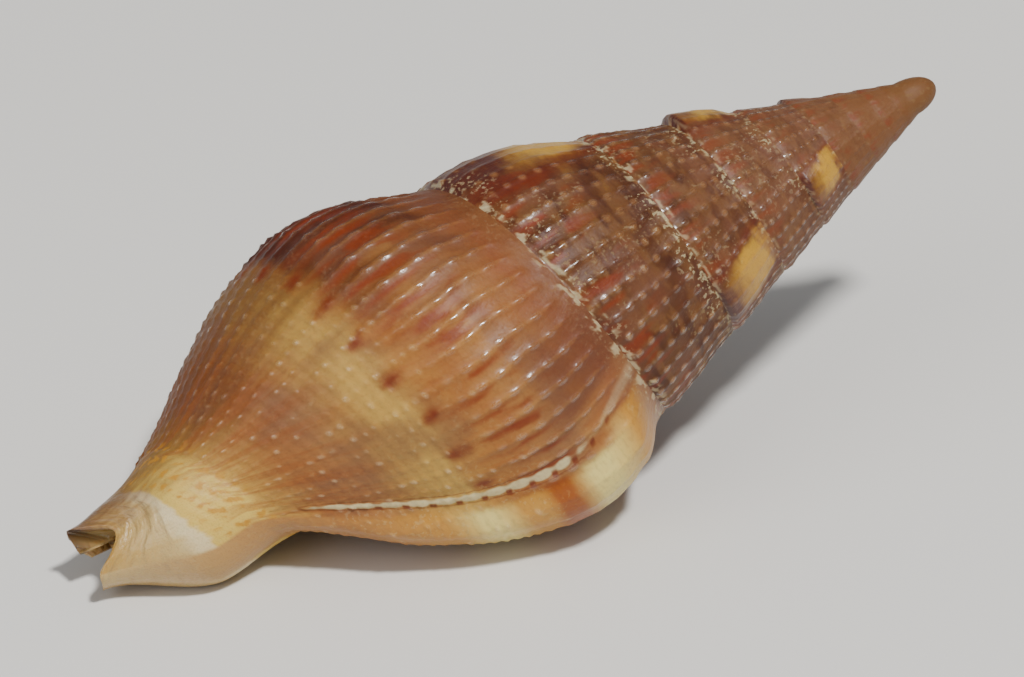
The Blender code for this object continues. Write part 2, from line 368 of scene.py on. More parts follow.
# The canal, with the shield on its near side and the waist above its flared end.
CANAL_FORMS_BACK = 1.5
CANAL_NECK_RADIUS = 3.65
CANAL_TIP_RADIUS = 1.8
CANAL_FLOOR_RADIUS = 0.4
CANAL_TAPER_START = 44.5
CANAL_FLOOR_START = 38.0
CANAL_FLOOR_END = 47.0
CANAL_BEND = 0.5
CANAL_BEND_START = 43.0
SHIELD_EDGE_TURN = -0.02
SHIELD_TURN = 0.05
SHIELD_START = 41.0
SHIELD_HALF_WIDTH = 0.25
SHIELD_HEIGHT = 0.35
SHIELD_LOST_AT_TIP = 1.3
WAIST_FROM_TIP = 46.6
WAIST_HALF_LENGTH = 2.4
WAIST_TURN = 0.47
WAIST_HALF_WIDTH = 0.3
WAIST_DEPTH = 0.35

# The varices: the turn at which each ends, and its height.
VARICES = (
    (0.75, 1.60),
    (0.108, 1.65),
    (-0.49, 0.31),
    (-1.15, 1.10),
    (-1.82, 0.50),
    (-2.48, 1.00),
    (-3.10, 1.00),
    (-3.76, 1.00),
    (-4.40, 0.90),
    (-5.10, 0.90),
)
VARIX_BACK = 0.16
VARIX_CREST = 0.07
VARIX_STEP = 0.05
VARIX_BOW = 0.045
VARIX_MIDDLE = 0.5
VARIX_FULL_FROM = 0.12
VARIX_FADE = (0.75, 1.1)

# The wall, the hollow and the sutures.
GROOVE_TURNS = GROOVE_STATIONS / CAVITY_STATIONS_PER_WHORL
WALL = 1.0
LIP_WALL = 0.5
LIP_WALL_TURNS = 0.12
CANAL_WALL = 0.6
CANAL_CLOSES = (0.85, 1.2)
CAVITY_END_TURNS = 0.15
LEAST_GAP = 0.002
ALL_CORNERS = 0.999
MERGE_DISTANCE = 0.002 * MM
FIRST_CURL_TURNS = 0.24
AT_SUTURE = 0.999
PAST_SUTURE = 1.001
SEAM_TURNS = 0.02
CALLUS_TURNS = 0.08
FILL_BELOW_SUTURE = 0.18
FILL_ABOVE_SUTURE = 0.6
FILL_ENDS = (LIP_TURN - 0.15, LIP_TURN - 0.02)
PLAIN_BELOW_SUTURE = 0.015
PLAIN_ABOVE_SUTURE = 0.95

# Ribs along the growth lines, cords across them, and the knobs and beads where they cross.
RIBS_PER_WHORL = 50.0
RIBS_GAINED_PER_WHORL = 1.16
RIBS_COUNTED_AT = 0.25
RIB_LEAN = 0.035
RIB_WANDER = 0.35
RIB_WANDER_SCALE = 5.0
RIB_SHARPNESS = 2.6
RIBS_GROW_IN = (APEX_TURN + 0.3, APEX_TURN + 1.2)
RIBS_START = (-0.02, 0.04)
RIBS_LOWER_ON_LAST_WHORL = 0.06
LAST_WHORL_STARTS_OVER = 0.3
RIBS_WEAKEN = (0.38, 0.56)
RIBS_WEAKEN_BY = 0.85
RIBS_END = (0.8, 1.05)
RIBS_LOST_ON_VARIX = 0.6
RIB_BETWEEN_NODULES = 0.30
RIB_GLINTS_START = (-5.5, -3.5)
UNEVEN_PER_TURN = 9.0
UNEVEN_PER_PLACE = 2.0
UNEVEN_SCALE = 3.0
CORD_SPACING = 0.62
CORD_SHARPNESS = 1.6
CORDS_PER_NODULE = 2.0
CORDS_START = (0.15, 0.4)
CORDS_WEAKEN = (0.85, 1.1)
CORDS_WEAKEN_BY = 0.8
BEAD_PLACES = (0.20, 0.5, 0.95, 1.15)
BEAD_LUCK = (0.35, 0.65)
BEAD_LUCK_SPREAD = 0.8
LEAST_BEAD = 0.4

# The beaded line at the front varix, the crusts in the sutures, and the teeth in the lip.
LIP_LINE_PAST_EDGE = -0.003
LIP_LINE_HALF_WIDTH = 0.0095
LIP_TONGUE_HALF_WIDTH = 0.004
LIP_LINE_PLACES = (-0.02, 0.015, 0.88, 0.96)
LIP_TONGUE_ENDS = (0.03, 0.12)
LIP_BEAD_SPACING = 1.2
LIP_BEAD_ROUNDNESS = 0.5
LIP_LINE_BETWEEN_BEADS = 0.65
CRUST_PER_TURN = 60.0
CRUST_DETAIL = 4.0
CRUST_PATCHES = (0.47, 0.64)
CRUST_BELOW_SUTURE = 0.06
CRUST_ABOVE_SUTURE = 0.84
CRUST_TURNS = (-5.5, -3.8, 0.2, 0.45)
TEETH_PER_CORD = 0.42
TOOTH_SHARPNESS = 3.0
TEETH_BEHIND_LIP = 0.05
TEETH_HALF_LENGTH = 0.045
TEETH_PLACES = (0.1, 0.2, 0.9, 1.05)
GAP_OVER_TEETH = 0.3
RIM_BULGE_TURNS = 0.05

# The edge of the canal's end and the tip of the first whorl.
TIP_BLUNTED = 0.04
NEAR_WALL_RECESS = 0.1
NEAR_WALL_TURNS = (0.3, 0.5)
NOTCH_RECESS = 1.8
NOTCH_TURN = 0.32
NOTCH_HALF_WIDTH = 0.19
LIP_CORNER_RECESS = 0.6
LIP_CORNER_TURN = 0.6
INNER_EDGE_RECESS = 1.5
END_HOLLOW_DEPTH = 2.2
END_HOLLOW_WIDTH = 0.42
END_HOLLOW_TURNS = (LAST_WHORL_TURN, LAST_WHORL_TURN + 0.12, 0.40, 0.48)

# How the shell lies.
REST_PITCH = math.radians(17.2)
REST_ROLL = math.radians(321.0)


def grown(turn):
    """The size of a whorl beside the one where the section was measured."""
    return GROWTH_PER_WHORL ** (turn - SECTION_TURN)


def suture_depth(turn):
    """Distance of the suture from the apex along the axis."""
    late = turn.at_least(0.0) ** LAST_SUTURE_POWER
    return SUTURE_FROM_CONE_POINT * GROWTH_PER_WHORL**turn + LAST_SUTURE_DROP * late - BLUNT_TIP


def suture_radius(turn):
    """Distance of the suture from the axis, a little less late on the last whorl."""
    late = turn.at_least(0.0)
    cone = SUTURE_SLOPE * SUTURE_FROM_CONE_POINT * GROWTH_PER_WHORL**turn
    return cone * (1.0 - LAST_SUTURE_PULL_IN * late * late)


def neck_depth(turn):
    """Distance from the apex at which a whorl's base ends and its canal begins."""
    last = turn.at_least(LAST_WHORL_TURN)
    earlier = turn.at_most(LAST_WHORL_TURN) - LAST_WHORL_TURN
    depth = NECK_FROM_TIP + NECK_ADVANCE_PER_WHORL * last
    return (depth + BLUNT_TIP) * GROWTH_PER_WHORL**earlier - BLUNT_TIP


def section_depth(turn, place):
    """Distance from the apex along the axis of a place on a whorl's section."""
    upper = PERIPHERY_BELOW_SUTURE * grown(turn)
    base = ((place - PERIPHERY) / (1.0 - PERIPHERY)).at_least(0.0).at_most(1.0)
    canal = (place - 1.0).at_least(0.0).at_most(1.0)
    neck = neck_depth(turn)
    suture = suture_depth(turn)
    depth = suture + upper * (place / PERIPHERY).at_most(1.0)
    depth = depth + (neck - suture - upper) * base
    return depth + (SHELL_LENGTH - neck) * canal


def place_at(turn, depth):
    """The place on a whorl's section at a distance from the apex."""
    upper = PERIPHERY_BELOW_SUTURE * grown(turn)
    below = depth - suture_depth(turn)
    neck = neck_depth(turn)
    base_length = neck - suture_depth(turn) - upper
    place = PERIPHERY * (below / upper).at_least(0.0).at_most(1.0)
    place = place + (1.0 - PERIPHERY) * ((below - upper) / base_length).at_least(0.0).at_most(1.0)
    canal = (below - upper - base_length) / (SHELL_LENGTH - neck)
    return place + canal.at_least(0.0).at_most(1.0)


def lower_suture_place(turn):
    """The place on a whorl where the next whorl meets it."""
    met = turn.at_most(LAST_WHORL_TURN)
    return place_at(met, suture_depth(met + 1.0))


def base_radius(turn, place):
    """The rounded section of a whorl, from one suture down to the neck of the canal."""
    tree = turn.socket.id_data
    node = add_node(tree, "ShaderNodeFloatCurve", {"Value": place})
    curve = node.mapping.curves[0]
    levels = [(rise - RISE_LOW) / (RISE_HIGH - RISE_LOW) for rise in SECTION_RISES]
    for point, position in zip(curve.points, ((0.0, levels[0]), (1.0, levels[-1]))):
        point.location = position
    for position in list(zip(SECTION_PLACES, levels))[1:-1]:
        curve.points.new(*position)
    node.mapping.update()
    rise = Field(node.outputs[0]) * (RISE_HIGH - RISE_LOW) + RISE_LOW
    return suture_radius(turn) + grown(turn) * rise


def seat_of_next_whorl(turn, place):
    """A little added or taken off, so that the next whorl's suture lies on this one."""
    met = turn.at_most(LAST_WHORL_TURN)
    seat = lower_suture_place(met)
    missing = suture_radius(met + 1.0) - base_radius(met, seat)
    reach = place / seat
    inner = reach.at_most(1.0)
    shape = inner * inner * fade(1.0, SEAT_FADES_BY, reach)
    return missing * shape * fade(LAST_WHORL_TURN, LAST_WHORL_TURN + SEAT_FADES_TURNS, turn)


def canal_radius(turn, depth):
    """The canal's outer radius: small where its wall starts inside, full past the shield's edge."""
    rolled = ease(LAST_WHORL_TURN, SHIELD_EDGE_TURN, turn)
    tapered = ease(CANAL_TAPER_START, SHELL_LENGTH, depth)
    full = CANAL_NECK_RADIUS + (CANAL_TIP_RADIUS - CANAL_NECK_RADIUS) * tapered
    across = ((turn - SHIELD_TURN) / SHIELD_HALF_WIDTH).at_least(-1.0).at_most(1.0)
    bump = 1.0 - across * across
    along = ease(SHIELD_START, CANAL_TAPER_START, depth) * (1.0 - SHIELD_LOST_AT_TIP * tapered)
    full = full + SHIELD_HEIGHT * bump * bump * along
    waist = hump(WAIST_FROM_TIP, WAIST_HALF_LENGTH, depth) * hump(WAIST_TURN, WAIST_HALF_WIDTH, turn)
    full = full - WAIST_DEPTH * waist
    dug = ease(CANAL_FLOOR_START, CANAL_FLOOR_END, depth)
    floor = CANAL_NECK_RADIUS + (CANAL_FLOOR_RADIUS - CANAL_NECK_RADIUS) * dug
    return blend(floor, full, rolled)


def plain_radius(turn, place, depth):
    """The outer surface before ribs and varices."""
    neck = base_radius(turn, 1.0)
    to_canal = (CANAL_NECK_RADIUS - neck) * ease(LIP_TURN - CANAL_FORMS_BACK, LAST_WHORL_TURN, turn)
    whorl = base_radius(turn, place) + seat_of_next_whorl(turn, place)
    whorl = whorl + to_canal * ease(NARROWS_FROM, 1.0, place)
    return blend(whorl, canal_radius(turn, depth), place.over(1.0))


def growth_line(turn, place):
    """The turn at which a point was laid down at the lip, whose edge bows back at both ends."""
    bow = place.at_least(0.0).at_most(VARIX_FADE[1]) / VARIX_MIDDLE - 1.0
    return turn - VARIX_BOW * bow * bow


def varix_height(turn, place):
    """The rounded thickenings, and how far a point is on any of them, from 0 to 1.

    Each rises slowly and drops steeply on the side that grew on.
    """
    laid = growth_line(turn, place)
    height = 0.0
    on_varix = 0.0
    for lead, size in VARICES:
        past = laid - lead
        crest = ease(-VARIX_BACK, -VARIX_CREST, past) * fade(-VARIX_STEP, 0.0, past)
        height = height + crest * size
        on_varix = on_varix + crest
    within = ease(0.0, VARIX_FULL_FROM, place) * fade(*VARIX_FADE, place)
    return height * grown(turn) * within, on_varix


growth_tree = bpy.data.node_groups.new("Shell growth", "GeometryNodeTree")
growth_tree.interface.new_socket("Geometry", in_out="INPUT", socket_type="NodeSocketGeometry")
growth_tree.interface.new_socket("Geometry", in_out="OUTPUT", socket_type="NodeSocketGeometry")
growth_sizes = {
    "Rib height": 0.17,
    "Cord height": 0.03,
    "Bead height": 0.10,
    "Lip line height": 0.16,
    "Suture fill": 0.30,
    "Crust height": 0.08,
    "Tooth height": 0.45,
}
growth_sockets = {}
for name, size in growth_sizes.items():
    socket = growth_tree.interface.new_socket(name, in_out="INPUT", socket_type="NodeSocketFloat")
    growth_sockets[name] = (socket.identifier, size)
group_input = add_node(growth_tree, "NodeGroupInput")
group_output = add_node(growth_tree, "NodeGroupOutput")


def size_input(name):
    """One of the tree's own inputs."""
    return Field(group_input.outputs[name])


def grown_in(name):
    """A value that the sheet's points carry."""
    node = add_node(growth_tree, "GeometryNodeInputNamedAttribute", {"Name": name}, data_type="FLOAT")
    return Field(node.outputs[0])


def suture_fill(turn):
    """Shell laid into the groove between two whorls, up to where the lip's edge lies free."""
    return size_input("Suture fill") * grown(turn) * fade(*FILL_ENDS, turn)


side, turn, share, across = (grown_in(name) for name in ("side", "turn", "share", "across"))


def on_sides(first, last):
    """1 on the sheet's sides from first to last, 0 on the others."""
    return side.over(first - 0.5) * (1.0 - side.over(last + 0.5))


in_cavity = on_sides(FLOOR, ROOF)
is_floor = on_sides(FLOOR, FLOOR)
is_rim = on_sides(RIM, RIM)
is_end = on_sides(CANAL_END, CANAL_END)
is_tip = on_sides(TIP, TIP)

lower = lower_suture_place(turn)
top_depth = section_depth(turn, lower)
upper_depth = section_depth(turn, share.at_most(1.0) * lower)
below = (share - 1.0).at_least(0.0)
outside_depth = upper_depth + below * (SHELL_LENGTH - top_depth)
cavity_depth = suture_depth(turn) + below * (SHELL_LENGTH - suture_depth(turn))
depth = blend(outside_depth, cavity_depth, in_cavity)
place = place_at(turn, depth)
plain = plain_radius(turn, place, depth)
floor_radius = plain_radius(turn - 1.0, place_at(turn - 1.0, depth), depth)

back = LIP_TURN - turn
wall = blend(WALL * grown(turn), LIP_WALL, ease(LIP_TURN - LIP_WALL_TURNS, LIP_TURN, turn))
wall = blend(wall, CANAL_WALL, ease(CANAL_FLOOR_START, CANAL_TAPER_START, depth))
closed = ease(0.0, GROOVE_TURNS, back) * ease(*CANAL_CLOSES, place)
deep_end = ease(0.0, CAVITY_END_TURNS, CAVITY_WHORLS - back)
gap = (plain - wall - floor_radius).at_least(0.0) * (1.0 - closed) * deep_end

laid = growth_line(turn, place)
wander = noise(turn, place, RIB_WANDER_SCALE) - 0.5
log_gain = math.log(RIBS_GAINED_PER_WHORL)
leaned = turn + RIB_LEAN * place - RIBS_COUNTED_AT
rib_number = RIBS_PER_WHORL / log_gain * RIBS_GAINED_PER_WHORL**leaned
rib_number = rib_number + wander * RIB_WANDER
rib = rib_number.wave() ** RIB_SHARPNESS * ease(*RIBS_GROW_IN, turn)
unevenness = 0.5 + noise(turn * UNEVEN_PER_TURN, place * UNEVEN_PER_PLACE, UNEVEN_SCALE)
on_last_whorl = ease(LAST_WHORL_TURN, LAST_WHORL_TURN + LAST_WHORL_STARTS_OVER, turn)
rib_fade = ease(*RIBS_START, place - on_last_whorl * RIBS_LOWER_ON_LAST_WHORL)
rib_fade = rib_fade * (1.0 - RIBS_WEAKEN_BY * ease(*RIBS_WEAKEN, place)) * fade(*RIBS_END, place)
cord_number = (depth - suture_depth(turn)) / (CORD_SPACING * grown(turn))
cord = cord_number.wave() ** CORD_SHARPNESS
cord_fade = ease(*CORDS_START, place) * (1.0 - CORDS_WEAKEN_BY * ease(*CORDS_WEAKEN, place))
bead_fade = region(BEAD_PLACES, place)
luck = noise(rib_number * BEAD_LUCK_SPREAD, cord_number * BEAD_LUCK_SPREAD, 1.0)
bead_luck = ease(*BEAD_LUCK, luck)
bead = rib * cord * bead_fade * (LEAST_BEAD + (1.0 - LEAST_BEAD) * bead_luck)
varix, on_varix = varix_height(turn, place)
rib_fade = rib_fade * (1.0 - RIBS_LOST_ON_VARIX * on_varix)
nodule = (cord_number / CORDS_PER_NODULE).wave()
rib_crest = rib * rib_fade * unevenness * (RIB_BETWEEN_NODULES + (1.0 - RIB_BETWEEN_NODULES) * nodule)
relief = size_input("Rib height") * rib_crest
relief = relief + size_input("Cord height") * cord * cord_fade
relief = relief + size_input("Bead height") * bead

past_lip = laid - VARICES[1][0]
tongue = LIP_TONGUE_HALF_WIDTH * fade(*LIP_TONGUE_ENDS, place)
lip_line = hump(LIP_LINE_PAST_EDGE, tongue + LIP_LINE_HALF_WIDTH, past_lip)
lip_line = lip_line * region(LIP_LINE_PLACES, place)
lip_bead = (depth / LIP_BEAD_SPACING).wave() ** LIP_BEAD_ROUNDNESS
bead_swell = LIP_LINE_BETWEEN_BEADS + (1.0 - LIP_LINE_BETWEEN_BEADS) * lip_bead
relief = relief + size_input("Lip line height") * lip_line * bead_swell

seamed = fade(LAST_WHORL_TURN, LAST_WHORL_TURN + SEAM_TURNS, turn) * (1.0 - share.over(PAST_SUTURE))
suture_edge = fade(0.0, CRUST_BELOW_SUTURE, place) + ease(CRUST_ABOVE_SUTURE, 1.0, share) * seamed
crust_grain = noise(turn * CRUST_PER_TURN, place * CRUST_PER_TURN, 1.0, CRUST_DETAIL)
crust = suture_edge.at_most(1.0) * ease(*CRUST_PATCHES, crust_grain) * region(CRUST_TURNS, turn)
relief = relief + size_input("Crust height") * crust
callus = fade(LAST_WHORL_TURN, LAST_WHORL_TURN + CALLUS_TURNS, turn)
plain_edges = ease(0.0, PLAIN_BELOW_SUTURE, place) * (1.0 - ease(PLAIN_ABOVE_SUTURE, 1.0, share) * seamed)
plain_edges = plain_edges * (1.0 - callus * share.over(AT_SUTURE) * (1.0 - seamed))
relief = (relief * grown(turn) + varix) * plain_edges

upper_fill, lower_fill = suture_fill(turn), suture_fill(turn + 1.0)
upper_edge = suture_radius(turn) + upper_fill
lower_edge = suture_radius(turn + 1.0) + lower_fill
straight = blend(upper_edge, lower_edge, share.at_most(1.0))
filled = upper_fill * fade(0.0, FILL_BELOW_SUTURE, place)
filled = filled + lower_fill * ease(FILL_ABOVE_SUTURE, 1.0, share) * seamed
at_seam = share.over(AT_SUTURE) * seamed
curled = ease(0.0, FIRST_CURL_TURNS, turn - APEX_TURN) * (1.0 - at_seam)
outer = blend(straight, plain + filled + relief, curled)

tooth = (cord_number * TEETH_PER_CORD).wave() ** TOOTH_SHARPNESS
tooth = tooth * hump(TEETH_BEHIND_LIP, TEETH_HALF_LENGTH, back) * region(TEETH_PLACES, place)
toothed_gap = (gap - size_input("Tooth height") * tooth).at_least(gap * GAP_OVER_TEETH)
roof_radius = floor_radius + toothed_gap
radius = blend(outer, roof_radius, in_cavity)
radius = blend(radius, floor_radius, is_floor)
radius = blend(radius, blend(outer, roof_radius, across), is_rim)
laid_by_wall = turn - is_floor
recess = NEAR_WALL_RECESS * fade(*NEAR_WALL_TURNS, laid_by_wall)
recess = recess + NOTCH_RECESS * hump(NOTCH_TURN, NOTCH_HALF_WIDTH, laid_by_wall)
recess = recess + LIP_CORNER_RECESS * ease(LIP_CORNER_TURN, LIP_TURN, laid_by_wall)
recess = recess + INNER_EDGE_RECESS * fade(LAST_WHORL_TURN, 0.0, laid_by_wall)
depth_now = depth - recess * ease(CANAL_TAPER_START, SHELL_LENGTH, depth)
hollow_end = is_end * region(END_HOLLOW_TURNS, turn)
radius = radius * (1.0 - hollow_end * END_HOLLOW_WIDTH * across**0.5)
depth_now = depth_now - hollow_end * END_HOLLOW_DEPTH * across * across
quarter = across * (math.pi / 2.0)
radius = blend(radius, outer * quarter.math("COSINE", quarter), is_tip)
domed = TIP_BLUNTED + (depth - TIP_BLUNTED) * (1.0 - quarter.math("SINE", quarter))
depth_now = blend(depth_now, domed, is_tip)

turned = turn + is_rim * across * (1.0 - across) * RIM_BULGE_TURNS
angle = turned * (2.0 * math.pi) - REST_ROLL
along_canal = ((depth_now - CANAL_BEND_START) / (SHELL_LENGTH - CANAL_BEND_START)).at_least(0.0)
sideways = -1.0 * radius * angle.math("SINE", angle)
up = CANAL_BEND * along_canal * along_canal - radius * angle.math("COSINE", angle)
axis = Vector((math.cos(REST_PITCH), 0.0, math.sin(REST_PITCH)))
apex = max((vertex.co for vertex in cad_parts["shell"].data.vertices), key=lambda co: co @ axis)
x = -1.0 * depth_now * math.cos(REST_PITCH) - up * math.sin(REST_PITCH)
z = up * math.cos(REST_PITCH) - depth_now * math.sin(REST_PITCH)
position = [x * MM + apex.x, sideways * MM + apex.y, (z * MM + apex.z).at_least(0.0)]
position = add_node(growth_tree, "ShaderNodeCombineXYZ", position)

values = [group_input.outputs["Geometry"]]
shut = add_node(growth_tree, "GeometryNodeDeleteGeometry", values, domain="FACE")
is_shut = in_cavity * (1.0 - gap.over(LEAST_GAP))
at_points = add_node(growth_tree, "GeometryNodeFieldOnDomain", [is_shut], domain="POINT", data_type="FLOAT")
growth_tree.links.new(Field(at_points.outputs[0]).over(ALL_CORNERS).socket, shut.inputs["Selection"])
geometry = shut.outputs[0]
kept = {
    "grown_turn": turn,
    "grown_place": place,
    "rib": rib * rib_fade,
    "bead": bead * bead_luck,
    "varix": on_varix,
    "lip_line": lip_line,
    "crust": crust,
    "inside": (in_cavity + is_rim * across).at_most(1.0),
    "laid": laid,
    "rib_number": rib_number,
    "cord_number": cord_number,
    "rib_fade": rib_fade * ease(*RIB_GLINTS_START, turn),
    "grown_depth": depth,
}
per_corner = {"data_type": "FLOAT", "domain": "CORNER"}
for name, value in kept.items():
    values = {"Geometry": geometry, "Name": name, "Value": value}
    node = add_node(growth_tree, "GeometryNodeStoreNamedAttribute", values, **per_corner)
    geometry = node.outputs[0]
values = {"Geometry": geometry, "Position": position.outputs[0]}
geometry = add_node(growth_tree, "GeometryNodeSetPosition", values).outputs[0]
values = {"Geometry": geometry, "Distance": MERGE_DISTANCE}
geometry = add_node(growth_tree, "GeometryNodeMergeByDistance", values).outputs[0]
geometry = add_node(growth_tree, "GeometryNodeRealizeInstances", {"Geometry": geometry}).outputs[0]
set_material = add_node(growth_tree, "GeometryNodeSetMaterial", {"Geometry": geometry})
growth_tree.links.new(set_material.outputs[0], group_output.inputs[0])


# The shell's substance.
# Porcelain-like calcium carbonate, laid down in thin layers with its colours in them: it is glossy,
# and it lets a little light in. The bands follow the whorls and the spots fall on the ribs.
def from_hex(code):
    """An sRGB hex colour as linear values."""
    channels = [int(code[i : i + 2], 16) / 255.0 for i in (1, 3, 5)]
    linear = [c / 12.92 if c <= 0.04045 else ((c + 0.055) / 1.055) ** 2.4 for c in channels]
    return (*linear, 1.0)


def new_material(name):
    """A material with its tree of nodes and its shader."""
    material = bpy.data.materials.new(name)
    material.use_nodes = True
    return material, material.node_tree, material.node_tree.nodes["Principled BSDF"]


shell_material, surface, shader = new_material("Glazed calcium carbonate shell")


def stored(name):
    """A value that the growth tree left on the mesh."""
    node = add_node(surface, "ShaderNodeAttribute", attribute_name=name, attribute_type="GEOMETRY")
    return Field(node.outputs["Fac"])


def bands(place, stops):
    """Colours at places down a whorl's section, which runs from 0 to 2."""
    node = add_node(surface, "ShaderNodeValToRGB", {"Fac": place * 0.5})
    elements = node.color_ramp.elements
    for index, (stop, code) in enumerate(stops):
        element = elements[index] if index < 2 else elements.new(stop * 0.5)
        element.position = stop * 0.5
        element.color = from_hex(code)
    return node.outputs[0]


def paint(below, colour, amount, blend_type="MIX"):
    """One colour laid over another by an amount from 0 to 1."""
    node = add_node(surface, "ShaderNodeMix", {"Factor": amount}, data_type="RGBA", blend_type=blend_type)
    sockets = {socket.name: socket for socket in node.inputs if socket.type == "RGBA"}
    surface.links.new(below, sockets["A"])
    if isinstance(colour, str):
        sockets["B"].default_value = from_hex(colour)
    else:
        surface.links.new(colour, sockets["B"])
    return next(socket for socket in node.outputs if socket.type == "RGBA")


at_turn, at_place = stored("grown_turn"), stored("grown_place")
at_depth, laid_turn = stored("grown_depth"), stored("laid")
rib_count, cord_count = stored("rib_number"), stored("cord_number")
rib_top, rib_strength, bead_top = stored("rib"), stored("rib_fade"), stored("bead")
varix_share, lip_line_share = stored("varix"), stored("lip_line")
crust_share, inside_share = stored("crust"), stored("inside")

# The shell's main pigments. Each band below is one of them, and blends into the next.
SUTURE_BROWN = "#9c6c4a"
SHOULDER_RUST = "#a26442"
TAN = "#bd8b58"
DULL_BROWN = "#b27c50"
PALE_TAN = "#cca86e"
GOLDEN_CREAM = "#e4c684"
MILKY_PINK = "#ecd8c6"
CANAL_TAN = "#dcc09a"
AMBER = "#d0a05a"
CREAM = "#ecd8a4"
BURNT_AMBER = "#b06a12"
GOLD = "#d0a650"
DEEP_RUST = "#6c3218"

# Each band has its place on a whorl: 0 is the suture above, 1 the neck of the canal, 2 its end.
WHORL_BANDS = (
    (0.00, SUTURE_BROWN),
    (0.10, SHOULDER_RUST),
    (0.25, TAN),
    (0.35, TAN),
    (0.42, DULL_BROWN),
    (0.50, TAN),
    (0.57, PALE_TAN),
    (0.63, PALE_TAN),
    (0.80, DULL_BROWN),
    (0.88, DULL_BROWN),
    (1.07, GOLDEN_CREAM),
    (1.36, GOLDEN_CREAM),
    (1.40, MILKY_PINK),
    (1.46, MILKY_PINK),
    (1.56, CANAL_TAN),
    (2.00, PALE_TAN),
)
VARIX_BANDS = (
    (0.00, SUTURE_BROWN),
    (0.10, AMBER),
    (0.22, CREAM),
    (0.30, CREAM),
    (0.37, BURNT_AMBER),
    (0.41, BURNT_AMBER),
    (0.45, AMBER),
    (0.50, AMBER),
    (0.56, CREAM),
    (0.60, CREAM),
    (0.68, AMBER),
    (0.88, TAN),
    (2.00, CANAL_TAN),
)
SPIRE_VARIX_BANDS = (
    (0.00, SUTURE_BROWN),
    (0.07, GOLD),
    (0.20, GOLD),
    (0.36, DEEP_RUST),
    (2.00, DEEP_RUST),
)
# Pigments, each with its strength. One is a painted shadow, and the paler tops of ribs, knobs and beads are
# partly painted highlights.
LATE_RED = ("#5a2414", 0.95)
LATE_BROWN = ("#74452a", 0.72)
SPIRE_BROWN = ("#5e3b2a", 0.8)
SPIRE_TAN = ("#9a7454", 0.45)
SPIRE_DARK = ("#5a3020", 0.6)
PURPLE = ("#8a6058", 0.5)
TIP_TAN = ("#936841", 0.8)
MILK = ("#b08c7c", 1.0)
RUST = ("#96451a", 1.0)
SPOT = ("#8a3a18", 0.85)
DASH = ("#9a4a20", 0.75)
BASE_LINE = ("#a8683c", 0.45)
NECK_FLECK = ("#cd9a3e", 0.75)
# Painted shadow: a dark band just past the front varix's lip, where its steep side throws shade.
LIP_SHADOW = ("#7a4a3e", 0.6)
VARIX_FRINGE = ("#7a3216", 0.7)
# Paler tops of ribs, knobs and beads: partly their own colour, partly painted highlights on the crests.
RIB_TOP_AND_HIGHLIGHT = ("#e2b684", 0.10)
NODULE_AND_HIGHLIGHT = ("#c0936c", 0.45)
BEAD_AND_HIGHLIGHT = ("#ecd2b0", 0.75)
DUST = ("#987264", 1.0)
FIRST_WHORL = ("#8f6848", 1.0)
LIP_EDGE = ("#7a2b1a", 0.45)
LIP_BEAD = ("#e6d8c6", 0.85)
LIP_TONGUE = ("#c3aa9c", 0.6)
LIP_GAP = ("#8a3f1c", 0.85)
CRUST = ("#e2d6c8", 1.0)
GRIT = ("#d8cdbf", 0.6)
HOLLOW_PINK = ("#ead7c6", 1.0)
HOLLOW_TAN = ("#deb990", 1.0)
DARK_GRAIN = ("#6d3a28", 0.12)
GLAZE = "#eaeecb"
GLAZE_DEPTH = 1.35

# Patterns that follow the whorls: repeats per turn, repeats per place, then noise scale and detail.
# Patches have two values more: the noise from which they begin, and from which they are full.
BLOTCHES = (3.0, 3.0, 4.0, 4.0)
STREAKS = (22.0, 2.0, 2.0, 3.0)
MOTTLE = (11.0, 9.0, 1.5, 3.0)
GROWTH_THREADS = (260.0, 12.0, 1.0, 2.0)
TAN_PATCHES = (*MOTTLE, 0.42, 0.58)
DARK_PATCHES = (14.0, 11.0, 1.3, 2.0, 0.54, 0.70)
CLOUDS = (4.0, 2.0, 3.0, 2.0, 0.45, 0.7)
RUST_STREAKS = (0.9, 5.0, 1.0, 2.0, 0.48, 0.62)
DASHES = (26.0, 5.0, 1.0, 1.0, 0.43, 0.55)
BASE_LINES = (60.0, 1.5, 1.0, 3.0, 0.45, 0.65)
NECK_PATCHES = (*STREAKS, 0.3, 0.6)
NODULE_PATCHES = (*STREAKS, 0.38, 0.6)
DARK_GRAINS = (60.0, 30.0, 3.0, 3.0, 0.45, 0.75)

# Where on the shell the colours change, in turns.
LATE_TURNS = (0.26, 0.46)
EARLY_TURNS = (-0.45, -0.2)
SPIRE_TURNS = (-0.3, -0.1)
SPOT_TURNS = (-0.4, -0.2)
DUSTY_TURNS = (-2.4, -1.2)
TIP_TURNS = (-5.5, -3.8)
NODULE_TURNS = (-5.0, -3.5)
FIRST_WHORL_TURNS = (-7.5, -6.8)
SHADOW_TURNS = (0.12, 0.14, 0.17, 0.26)
BEADS_FAINTER_TURNS = (0.25, 0.4)
GRITTY_TURNS = (-3.4, -2.6, -0.1, 0.25)
LATE_TURN_SWAY = 0.15
LIP_GAP_TURN, LIP_GAP_HALF_WIDTH = 0.1, 0.006
CANAL_SLANT_FROM = 0.2
CANAL_SLANT = 0.6

